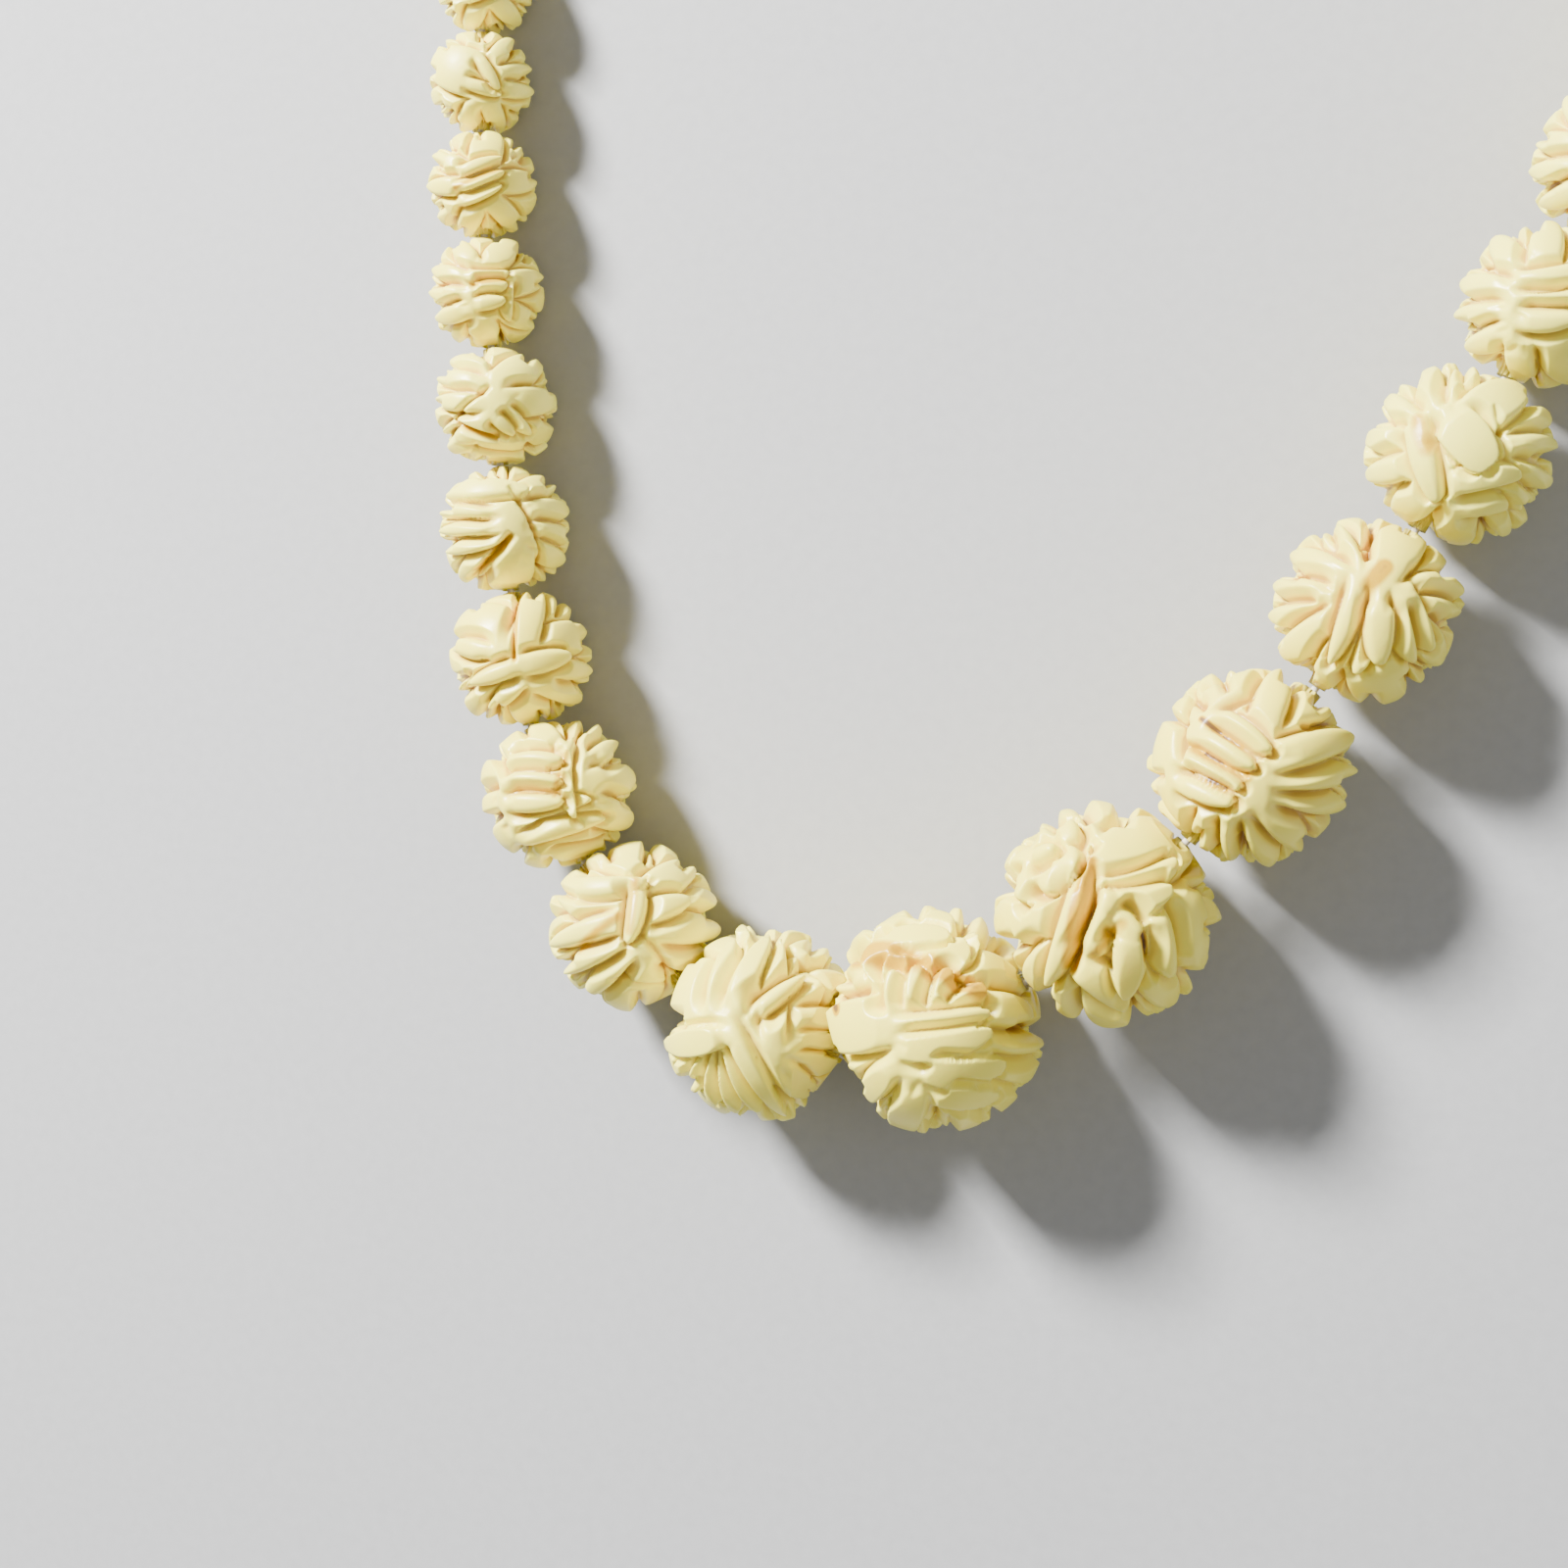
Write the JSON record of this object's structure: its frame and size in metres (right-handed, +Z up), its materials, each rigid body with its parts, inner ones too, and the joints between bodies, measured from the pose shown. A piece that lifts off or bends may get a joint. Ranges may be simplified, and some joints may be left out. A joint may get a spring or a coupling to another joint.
{
  "type": "carved bead necklace",
  "caption": "Graduated necklace of round hand-carved rose beads on one cord, with bead tips, jump rings and a screw barrel clasp undone at the back.",
  "frame": {"origin": "centre of the laid-out necklace's bounding box, on the surface it lies on", "axes": "+Z up off the surface; +Y from the front beads to the clasp at the back; +X to the right"},
  "size_m": [0.1156, 0.1888, 0.017],
  "materials": {
    "bone": "satin",
    "brass": "satin",
    "thread": "matte"
  },
  "bodies": {
    "front_bead": {"bead_left_01": "bone", "stringing_cord": "thread"},
    "bead_left_02": {"bead_left_02": "bone"},
    "bead_left_03": {"bead_left_03": "bone"},
    "bead_left_04": {"bead_left_04": "bone"},
    "bead_left_05": {"bead_left_05": "bone"},
    "bead_left_06": {"bead_left_06": "bone"},
    "bead_left_07": {"bead_left_07": "bone"},
    "bead_left_08": {"bead_left_08": "bone"},
    "bead_left_09": {"bead_left_09": "bone"},
    "bead_left_10": {"bead_left_10": "bone"},
    "bead_left_11": {"bead_left_11": "bone"},
    "bead_left_12": {"bead_left_12": "bone"},
    "bead_left_13": {"bead_left_13": "bone"},
    "bead_left_14": {"bead_left_14": "bone"},
    "bead_left_15": {"bead_left_15": "bone"},
    "bead_left_16": {"bead_left_16": "bone"},
    "bead_left_17": {"bead_left_17": "bone"},
    "bead_left_18": {"bead_left_18": "bone"},
    "bead_left_19": {"bead_left_19": "bone"},
    "bead_left_20": {"bead_left_20": "bone"},
    "bead_left_21": {"bead_left_21": "bone"},
    "bead_left_22": {"bead_left_22": "bone"},
    "bead_tip_left": {"bead_tip_left": "brass", "knot_left": "thread"},
    "clasp_ring_left": {"clasp_ring_left": "brass"},
    "clasp_screw": {"clasp_screw": "brass"},
    "bead_right_01": {"bead_right_01": "bone"},
    "bead_right_02": {"bead_right_02": "bone"},
    "bead_right_03": {"bead_right_03": "bone"},
    "bead_right_04": {"bead_right_04": "bone"},
    "bead_right_05": {"bead_right_05": "bone"},
    "bead_right_06": {"bead_right_06": "bone"},
    "bead_right_07": {"bead_right_07": "bone"},
    "bead_right_08": {"bead_right_08": "bone"},
    "bead_right_09": {"bead_right_09": "bone"},
    "bead_right_10": {"bead_right_10": "bone"},
    "bead_right_11": {"bead_right_11": "bone"},
    "bead_right_12": {"bead_right_12": "bone"},
    "bead_right_13": {"bead_right_13": "bone"},
    "bead_right_14": {"bead_right_14": "bone"},
    "bead_right_15": {"bead_right_15": "bone"},
    "bead_right_16": {"bead_right_16": "bone"},
    "bead_right_17": {"bead_right_17": "bone"},
    "bead_right_18": {"bead_right_18": "bone"},
    "bead_right_19": {"bead_right_19": "bone"},
    "bead_right_20": {"bead_right_20": "bone"},
    "bead_right_21": {"bead_right_21": "bone"},
    "bead_right_22": {"bead_right_22": "bone"},
    "bead_tip_right": {"bead_tip_right": "brass", "knot_right": "thread"},
    "clasp_ring_right": {"clasp_ring_right": "brass"},
    "clasp_socket": {"clasp_socket": "brass"}
  },
  "joints": [
    {"name": "gap_left_01", "type": "hinge", "parent": "front_bead", "child": "bead_left_02", "pos_m": [-0.01809, -0.08881, 0.00812], "axis": [0, 0, -1], "range_deg": [-62.1, 0], "deforming": ["stringing_cord"]},
    {"name": "gap_left_02", "type": "hinge", "parent": "bead_left_02", "child": "bead_left_03", "pos_m": [-0.03291, -0.08389, 0.0074], "axis": [0, 0, 1], "range_deg": [0, 50.8], "deforming": ["stringing_cord"]},
    {"name": "gap_left_03", "type": "hinge", "parent": "bead_left_03", "child": "bead_left_04", "pos_m": [-0.04226, -0.07308, 0.00679], "axis": [0, 0, -1], "range_deg": [-36.7, 0], "deforming": ["stringing_cord"]},
    {"name": "gap_left_04", "type": "hinge", "parent": "bead_left_04", "child": "bead_left_05", "pos_m": [-0.04765, -0.06106, 0.00627], "axis": [0, 0, 1], "range_deg": [0, 33.8], "deforming": ["stringing_cord"]},
    {"name": "gap_left_05", "type": "hinge", "parent": "bead_left_05", "child": "bead_left_06", "pos_m": [-0.04984, -0.04906, 0.00581], "axis": [0, 0, -1], "range_deg": [-24.3, 0], "deforming": ["stringing_cord"]},
    {"name": "gap_left_06", "type": "hinge", "parent": "bead_left_06", "child": "bead_left_07", "pos_m": [-0.05103, -0.03777, 0.00543], "axis": [0, 0, 1], "range_deg": [0, 20.5], "deforming": ["stringing_cord"]},
    {"name": "gap_left_07", "type": "hinge", "parent": "bead_left_07", "child": "bead_left_08", "pos_m": [-0.05205, -0.02717, 0.00509], "axis": [0, 0, -1], "range_deg": [-20.8, 0], "deforming": ["stringing_cord"]},
    {"name": "gap_left_08", "type": "hinge", "parent": "bead_left_08", "child": "bead_left_09", "pos_m": [-0.05287, -0.01718, 0.0048], "axis": [0, 0, 1], "range_deg": [0, 21.8], "deforming": ["stringing_cord"]},
    {"name": "gap_left_09", "type": "hinge", "parent": "bead_left_09", "child": "bead_left_10", "pos_m": [-0.05335, -0.0077, 0.00456], "axis": [0, 0, -1], "range_deg": [-23.3, 0], "deforming": ["stringing_cord"]},
    {"name": "gap_left_10", "type": "hinge", "parent": "bead_left_10", "child": "bead_left_11", "pos_m": [-0.05328, 0.00134, 0.00435], "axis": [0, 0, 1], "range_deg": [0, 23.6], "deforming": ["stringing_cord"]},
    {"name": "gap_left_11", "type": "hinge", "parent": "bead_left_11", "child": "bead_left_12", "pos_m": [-0.05267, 0.00996, 0.00416], "axis": [0, 0, -1], "range_deg": [-23, 0], "deforming": ["stringing_cord"]},
    {"name": "gap_left_12", "type": "hinge", "parent": "bead_left_12", "child": "bead_left_13", "pos_m": [-0.05166, 0.01821, 0.00401], "axis": [0, 0, 1], "range_deg": [0, 22.4], "deforming": ["stringing_cord"]},
    {"name": "gap_left_13", "type": "hinge", "parent": "bead_left_13", "child": "bead_left_14", "pos_m": [-0.05036, 0.02612, 0.00387], "axis": [0, 0, -1], "range_deg": [-21.8, 0], "deforming": ["stringing_cord"]},
    {"name": "gap_left_14", "type": "hinge", "parent": "bead_left_14", "child": "bead_left_15", "pos_m": [-0.04885, 0.03374, 0.00376], "axis": [0, 0, 1], "range_deg": [0, 21.5], "deforming": ["stringing_cord"]},
    {"name": "gap_left_15", "type": "hinge", "parent": "bead_left_15", "child": "bead_left_16", "pos_m": [-0.0472, 0.04112, 0.00366], "axis": [0, 0, -1], "range_deg": [-22.1, 0], "deforming": ["stringing_cord"]},
    {"name": "gap_left_16", "type": "hinge", "parent": "bead_left_16", "child": "bead_left_17", "pos_m": [-0.04532, 0.04825, 0.00357], "axis": [0, 0, 1], "range_deg": [0, 23.4], "deforming": ["stringing_cord"]},
    {"name": "gap_left_17", "type": "hinge", "parent": "bead_left_17", "child": "bead_left_18", "pos_m": [-0.04307, 0.0551, 0.0035], "axis": [0, 0, -1], "range_deg": [-24.6, 0], "deforming": ["stringing_cord"]},
    {"name": "gap_left_18", "type": "hinge", "parent": "bead_left_18", "child": "bead_left_19", "pos_m": [-0.04032, 0.06163, 0.00344], "axis": [0, 0, 1], "range_deg": [0, 25.9], "deforming": ["stringing_cord"]},
    {"name": "gap_left_19", "type": "hinge", "parent": "bead_left_19", "child": "bead_left_20", "pos_m": [-0.03698, 0.06773, 0.00338], "axis": [0, 0, -1], "range_deg": [-27, 0], "deforming": ["stringing_cord"]},
    {"name": "gap_left_20", "type": "hinge", "parent": "bead_left_20", "child": "bead_left_21", "pos_m": [-0.03297, 0.0733, 0.00333], "axis": [0, 0, 1], "range_deg": [0, 27.3], "deforming": ["stringing_cord"]},
    {"name": "gap_left_21", "type": "hinge", "parent": "bead_left_21", "child": "bead_left_22", "pos_m": [-0.02835, 0.07826, 0.00329], "axis": [0, 0, -1], "range_deg": [-27.2, 0], "deforming": ["stringing_cord"]},
    {"name": "tip_swing_left", "type": "hinge", "parent": "bead_left_22", "child": "bead_tip_left", "pos_m": [-0.0232, 0.08255, 0.00328], "axis": [0, 0, 1], "range_deg": [0, 25.9]},
    {"name": "ring_swing_left", "type": "hinge", "parent": "bead_tip_left", "child": "clasp_ring_left", "pos_m": [-0.0197, 0.0849, 0.0021], "axis": [0, 0, -1], "range_deg": [-30, 0]},
    {"name": "clasp_screw_swing", "type": "hinge", "parent": "clasp_ring_left", "child": "clasp_screw", "pos_m": [-0.01665, 0.08663, 0.0021], "axis": [0, 0, 1], "range_deg": [0, 30]},
    {"name": "front_gap", "type": "hinge", "parent": "front_bead", "child": "bead_right_01", "pos_m": [-0.00239, -0.0819, 0.0085], "axis": [0, 0, -1], "range_deg": [0, 38.2], "deforming": ["stringing_cord"]},
    {"name": "gap_right_01", "type": "hinge", "parent": "bead_right_01", "child": "bead_right_02", "pos_m": [0.01036, -0.07043, 0.00812], "axis": [0, 0, 1], "range_deg": [-28.7, 0], "deforming": ["stringing_cord"]},
    {"name": "gap_right_02", "type": "hinge", "parent": "bead_right_02", "child": "bead_right_03", "pos_m": [0.02024, -0.05834, 0.0074], "axis": [0, 0, -1], "range_deg": [0, 27.8], "deforming": ["stringing_cord"]},
    {"name": "gap_right_03", "type": "hinge", "parent": "bead_right_03", "child": "bead_right_04", "pos_m": [0.02771, -0.04614, 0.00679], "axis": [0, 0, 1], "range_deg": [-21.8, 0], "deforming": ["stringing_cord"]},
    {"name": "gap_right_04", "type": "hinge", "parent": "bead_right_04", "child": "bead_right_05", "pos_m": [0.03422, -0.0347, 0.00627], "axis": [0, 0, -1], "range_deg": [0, 23.1], "deforming": ["stringing_cord"]},
    {"name": "gap_right_05", "type": "hinge", "parent": "bead_right_05", "child": "bead_right_06", "pos_m": [0.03967, -0.02379, 0.00581], "axis": [0, 0, 1], "range_deg": [-23.4, 0], "deforming": ["stringing_cord"]},
    {"name": "gap_right_06", "type": "hinge", "parent": "bead_right_06", "child": "bead_right_07", "pos_m": [0.04413, -0.01334, 0.00543], "axis": [0, 0, -1], "range_deg": [0, 23.2], "deforming": ["stringing_cord"]},
    {"name": "gap_right_07", "type": "hinge", "parent": "bead_right_07", "child": "bead_right_08", "pos_m": [0.04776, -0.00334, 0.00509], "axis": [0, 0, 1], "range_deg": [-23.6, 0], "deforming": ["stringing_cord"]},
    {"name": "gap_right_08", "type": "hinge", "parent": "bead_right_08", "child": "bead_right_09", "pos_m": [0.05059, 0.00628, 0.0048], "axis": [0, 0, -1], "range_deg": [0, 24.6], "deforming": ["stringing_cord"]},
    {"name": "gap_right_09", "type": "hinge", "parent": "bead_right_09", "child": "bead_right_10", "pos_m": [0.05252, 0.01558, 0.00456], "axis": [0, 0, 1], "range_deg": [-25.5, 0], "deforming": ["stringing_cord"]},
    {"name": "gap_right_10", "type": "hinge", "parent": "bead_right_10", "child": "bead_right_11", "pos_m": [0.05351, 0.02456, 0.00435], "axis": [0, 0, -1], "range_deg": [0, 25.9], "deforming": ["stringing_cord"]},
    {"name": "gap_right_11", "type": "hinge", "parent": "bead_right_11", "child": "bead_right_12", "pos_m": [0.05356, 0.03321, 0.00416], "axis": [0, 0, 1], "range_deg": [-26.2, 0], "deforming": ["stringing_cord"]},
    {"name": "gap_right_12", "type": "hinge", "parent": "bead_right_12", "child": "bead_right_13", "pos_m": [0.05271, 0.04147, 0.00401], "axis": [0, 0, -1], "range_deg": [0, 26.5], "deforming": ["stringing_cord"]},
    {"name": "gap_right_13", "type": "hinge", "parent": "bead_right_13", "child": "bead_right_14", "pos_m": [0.051, 0.0493, 0.00387], "axis": [0, 0, 1], "range_deg": [-26.9, 0], "deforming": ["stringing_cord"]},
    {"name": "gap_right_14", "type": "hinge", "parent": "bead_right_14", "child": "bead_right_15", "pos_m": [0.04844, 0.05664, 0.00376], "axis": [0, 0, -1], "range_deg": [0, 26.6], "deforming": ["stringing_cord"]},
    {"name": "gap_right_15", "type": "hinge", "parent": "bead_right_15", "child": "bead_right_16", "pos_m": [0.04514, 0.06344, 0.00366], "axis": [0, 0, 1], "range_deg": [-26.3, 0], "deforming": ["stringing_cord"]},
    {"name": "gap_right_16", "type": "hinge", "parent": "bead_right_16", "child": "bead_right_17", "pos_m": [0.04123, 0.06969, 0.00357], "axis": [0, 0, -1], "range_deg": [0, 25.9], "deforming": ["stringing_cord"]},
    {"name": "gap_right_17", "type": "hinge", "parent": "bead_right_17", "child": "bead_right_18", "pos_m": [0.03678, 0.07537, 0.0035], "axis": [0, 0, 1], "range_deg": [-25.9, 0], "deforming": ["stringing_cord"]},
    {"name": "gap_right_18", "type": "hinge", "parent": "bead_right_18", "child": "bead_right_19", "pos_m": [0.03187, 0.08047, 0.00344], "axis": [0, 0, -1], "range_deg": [0, 26.8], "deforming": ["stringing_cord"]},
    {"name": "gap_right_19", "type": "hinge", "parent": "bead_right_19", "child": "bead_right_20", "pos_m": [0.02648, 0.08488, 0.00338], "axis": [0, 0, 1], "range_deg": [-28.2, 0], "deforming": ["stringing_cord"]},
    {"name": "gap_right_20", "type": "hinge", "parent": "bead_right_20", "child": "bead_right_21", "pos_m": [0.0206, 0.08842, 0.00333], "axis": [0, 0, -1], "range_deg": [0, 30], "deforming": ["stringing_cord"]},
    {"name": "gap_right_21", "type": "hinge", "parent": "bead_right_21", "child": "bead_right_22", "pos_m": [0.01428, 0.09085, 0.00329], "axis": [0, 0, 1], "range_deg": [-31.3, 0], "deforming": ["stringing_cord"]},
    {"name": "tip_swing_right", "type": "hinge", "parent": "bead_right_22", "child": "bead_tip_right", "pos_m": [0.00767, 0.09198, 0.00328], "axis": [0, 0, -1], "range_deg": [0, 28.5]},
    {"name": "ring_swing_right", "type": "hinge", "parent": "bead_tip_right", "child": "clasp_ring_right", "pos_m": [0.00346, 0.09207, 0.0021], "axis": [0, 0, 1], "range_deg": [-30, 0]},
    {"name": "clasp_socket_swing", "type": "hinge", "parent": "clasp_ring_right", "child": "clasp_socket", "pos_m": [-0.00003, 0.09181, 0.0021], "axis": [0, 0, -1], "range_deg": [0, 30]}
  ]
}
